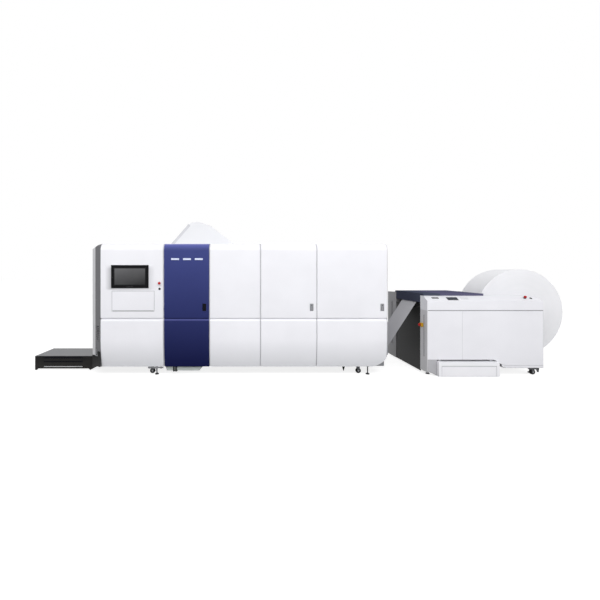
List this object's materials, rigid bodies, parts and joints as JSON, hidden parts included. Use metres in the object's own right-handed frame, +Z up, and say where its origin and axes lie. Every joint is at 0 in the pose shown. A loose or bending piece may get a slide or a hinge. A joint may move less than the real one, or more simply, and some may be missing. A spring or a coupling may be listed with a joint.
{
  "type": "digital production printer",
  "caption": "Roll-fed digital production printer: a modular engine with hinged doors, a web tunnel at its left and an unwinder with a large paper roll at its right.",
  "frame": {"origin": "middle of the whole line's bounding box, on the floor", "axes": "+X along the line from the paper's exit to the unwinder, +Y from the operator side to the back, +Z up"},
  "size_m": [8.65, 1.903, 2.4916],
  "materials": {
    "white_panel": "satin",
    "blue_panel": "gloss",
    "grey_cover": "satin",
    "frame_steel": "matte",
    "black_frame": "matte",
    "tunnel_grey": "satin",
    "side_plate": "satin",
    "arm_paint": "satin",
    "rack_paint": "matte",
    "navy_cover": "satin",
    "feet": "matte",
    "castor_steel": "satin",
    "bright_steel": "polished",
    "aluminium": "satin",
    "roller_rubber": "matte",
    "wheel_rubber": "matte",
    "black_plastic": "matte",
    "latch_grey": "matte",
    "red_plastic": "gloss",
    "button_base": "satin",
    "print_bar": "matte",
    "tank_plastic": "satin",
    "light_bar": "gloss",
    "screen": "gloss",
    "paper": "matte",
    "cardboard": "matte"
  },
  "bodies": {
    "root": {"engine_frame": "frame_steel", "levelling_feet": "feet", "castor_forks": "castor_steel", "left_end_cover": "grey_cover", "right_end_cover": "grey_cover", "roof_cover": "white_panel", "rear_covers": "white_panel", "exhaust_hood": "white_panel", "operator_panel": "white_panel", "monitor_housing": "black_plastic", "monitor_glass": "screen", "dryer_panel": "white_panel", "lower_covers": "white_panel", "ink_lower_cover": "blue_panel", "button_bases": "button_base", "roller_side_plates": "side_plate", "print_platen": "aluminium", "ink_tanks": "tank_plastic", "electronics_rack": "rack_paint", "paper_web": "paper", "unwinder_front_cabinet": "grey_cover", "unwinder_rear_cabinet": "grey_cover", "unwinder_front_panels": "white_panel", "unwinder_console": "white_panel", "unwinder_cross_frame": "black_frame", "unwinder_hood": "navy_cover", "step_box": "white_panel", "tunnel_side_plates": "black_frame", "tunnel_top_plate": "tunnel_grey"},
    "ink_door": {"ink_door": "blue_panel", "ink_door_lights": "light_bar"},
    "ink_door_latch": {"ink_door_latch": "black_plastic"},
    "print_door": {"print_door": "white_panel"},
    "print_door_latch": {"print_door_latch": "latch_grey"},
    "infeed_door": {"infeed_door": "white_panel"},
    "infeed_door_latch": {"infeed_door_latch": "latch_grey"},
    "keyboard_flap": {"keyboard_flap": "white_panel"},
    "engine_stop_button": {"engine_stop_button": "red_plastic"},
    "engine_start_button": {"engine_start_button": "black_plastic"},
    "print_carriage": {"print_carriage": "aluminium", "print_bars": "print_bar"},
    "inlet_roller": {"inlet_roller": "bright_steel"},
    "infeed_roller": {"infeed_roller": "roller_rubber"},
    "upper_turn_roller": {"upper_turn_roller": "bright_steel"},
    "dryer_drum": {"dryer_drum": "bright_steel"},
    "outfeed_roller": {"outfeed_roller": "roller_rubber"},
    "engine_left_wheels": {"engine_left_wheels": "wheel_rubber"},
    "engine_right_wheels": {"engine_right_wheels": "wheel_rubber"},
    "unwinder_wheels": {"unwinder_wheels": "wheel_rubber"},
    "unwinder_lid": {"unwinder_lid": "navy_cover"},
    "console_stop_button": {"console_stop_button": "red_plastic"},
    "console_start_button": {"console_start_button": "black_plastic"},
    "side_stop_button": {"side_stop_button": "red_plastic"},
    "roll_arms": {"roll_arms": "arm_paint", "web_tail": "paper"},
    "paper_roll": {"paper_roll": "paper", "roll_core": "cardboard"},
    "pivot_idler": {"pivot_idler": "bright_steel"},
    "tension_roller": {"tension_roller": "bright_steel"},
    "exit_roller": {"exit_roller": "bright_steel"}
  },
  "joints": [
    {"name": "ink_door_hinge", "type": "hinge", "parent": "root", "child": "ink_door", "pos_m": [-2.155, -0.8985, 1.4], "axis": [0, 0, -1], "range_deg": [0, 95]},
    {"name": "ink_latch_pivot", "type": "hinge", "parent": "ink_door", "child": "ink_door_latch", "pos_m": [-1.548, -0.8917, 1.0555], "axis": [0, 0, -1], "range_deg": [0, 35], "stiffness_Nm_per_rad": 0.4, "springref_deg": -11.46},
    {"name": "print_door_hinge", "type": "hinge", "parent": "root", "child": "print_door", "pos_m": [-0.662, -0.8985, 1.4], "axis": [0, 0, -1], "range_deg": [0, 95]},
    {"name": "print_latch_pivot", "type": "hinge", "parent": "print_door", "child": "print_door_latch", "pos_m": [0.103, -0.8917, 1.0555], "axis": [0, 0, -1], "range_deg": [0, 35], "stiffness_Nm_per_rad": 0.4, "springref_deg": -11.46},
    {"name": "infeed_door_hinge", "type": "hinge", "parent": "root", "child": "infeed_door", "pos_m": [0.204, -0.8985, 1.4], "axis": [0, 0, -1], "range_deg": [0, 95]},
    {"name": "infeed_latch_pivot", "type": "hinge", "parent": "infeed_door", "child": "infeed_door_latch", "pos_m": [1.191, -0.8917, 1.0555], "axis": [0, 0, -1], "range_deg": [0, 35], "stiffness_Nm_per_rad": 0.4, "springref_deg": -11.46},
    {"name": "keyboard_flap_hinge", "type": "hinge", "parent": "root", "child": "keyboard_flap", "pos_m": [-2.623, -0.8905, 0.998], "axis": [1, 0, 0], "range_deg": [0, 88]},
    {"name": "engine_stop_press", "type": "slide", "parent": "root", "child": "engine_stop_button", "axis": [0, 1, 0], "range_m": [0, 0.006], "stiffness_N_per_m": 900, "springref_m": -0.003},
    {"name": "engine_start_press", "type": "slide", "parent": "root", "child": "engine_start_button", "axis": [0, 1, 0], "range_m": [0, 0.003], "stiffness_N_per_m": 900, "springref_m": -0.003},
    {"name": "console_stop_press", "type": "slide", "parent": "root", "child": "console_stop_button", "axis": [0, 0.5145, -0.8575], "range_m": [0, 0.006], "stiffness_N_per_m": 900, "springref_m": -0.003},
    {"name": "console_start_press", "type": "slide", "parent": "root", "child": "console_start_button", "axis": [0, 0.5145, -0.8575], "range_m": [0, 0.003], "stiffness_N_per_m": 900, "springref_m": -0.003},
    {"name": "side_stop_press", "type": "slide", "parent": "root", "child": "side_stop_button", "axis": [1, 0, 0], "range_m": [0, 0.006], "stiffness_N_per_m": 900, "springref_m": -0.003},
    {"name": "print_carriage_lift", "type": "slide", "parent": "root", "child": "print_carriage", "axis": [0, 0, 1], "range_m": [0, 0.08]},
    {"name": "unwinder_lid_hinge", "type": "hinge", "parent": "root", "child": "unwinder_lid", "pos_m": [2.377, 0.2775, 1.244], "axis": [-1, 0, 0], "range_deg": [0, 75]},
    {"name": "roll_arm_lift", "type": "hinge", "parent": "root", "child": "roll_arms", "pos_m": [2.777, -0.2545, 0.48], "axis": [0, 1, 0], "range_deg": [-3, 14.5]},
    {"name": "paper_roll_spin", "type": "hinge", "parent": "roll_arms", "child": "paper_roll", "pos_m": [3.62, -0.2545, 0.939], "axis": [0, 1, 0], "continuous": true},
    {"name": "pivot_idler_spin", "type": "hinge", "parent": "roll_arms", "child": "pivot_idler", "pos_m": [2.777, -0.2545, 0.48], "axis": [0, 1, 0], "continuous": true},
    {"name": "tension_roller_spin", "type": "hinge", "parent": "root", "child": "tension_roller", "pos_m": [2.207, -0.2545, 0.47], "axis": [0, 1, 0], "continuous": true},
    {"name": "exit_roller_spin", "type": "hinge", "parent": "root", "child": "exit_roller", "pos_m": [2.002, -0.2545, 1.142], "axis": [0, 1, 0], "continuous": true},
    {"name": "inlet_roller_spin", "type": "hinge", "parent": "root", "child": "inlet_roller", "pos_m": [1.357, -0.2545, 0.33], "axis": [0, 1, 0], "continuous": true},
    {"name": "infeed_roller_spin", "type": "hinge", "parent": "root", "child": "infeed_roller", "pos_m": [0.977, -0.2545, 0.33], "axis": [0, 1, 0], "continuous": true},
    {"name": "upper_turn_roller_spin", "type": "hinge", "parent": "root", "child": "upper_turn_roller", "pos_m": [0.8754, -0.2545, 1.2002], "axis": [0, 1, 0], "continuous": true},
    {"name": "dryer_drum_spin", "type": "hinge", "parent": "root", "child": "dryer_drum", "pos_m": [-1.0545, -0.2545, 0.9302], "axis": [0, 1, 0], "continuous": true},
    {"name": "outfeed_roller_spin", "type": "hinge", "parent": "root", "child": "outfeed_roller", "pos_m": [-1.363, -0.2545, 0.2508], "axis": [0, 1, 0], "continuous": true},
    {"name": "engine_left_wheels_spin", "type": "hinge", "parent": "root", "child": "engine_left_wheels", "pos_m": [-2.357, 0.0865, 0.045], "axis": [0, 1, 0], "continuous": true},
    {"name": "engine_right_wheels_spin", "type": "hinge", "parent": "root", "child": "engine_right_wheels", "pos_m": [0.889, 0.0865, 0.045], "axis": [0, 1, 0], "continuous": true},
    {"name": "unwinder_wheels_spin", "type": "hinge", "parent": "root", "child": "unwinder_wheels", "pos_m": [3.578, -0.1985, 0.045], "axis": [0, 1, 0], "continuous": true}
  ],
  "couplings": [
    {"joint": "pivot_idler_spin", "follows": "paper_roll_spin", "ratio": -15.667},
    {"joint": "tension_roller_spin", "follows": "paper_roll_spin", "ratio": 14.1},
    {"joint": "exit_roller_spin", "follows": "paper_roll_spin", "ratio": -14.1},
    {"joint": "inlet_roller_spin", "follows": "paper_roll_spin", "ratio": 14.1},
    {"joint": "infeed_roller_spin", "follows": "paper_roll_spin", "ratio": 14.1},
    {"joint": "upper_turn_roller_spin", "follows": "paper_roll_spin", "ratio": -14.1},
    {"joint": "dryer_drum_spin", "follows": "paper_roll_spin", "ratio": -2.2031},
    {"joint": "outfeed_roller_spin", "follows": "paper_roll_spin", "ratio": 14.1}
  ]
}
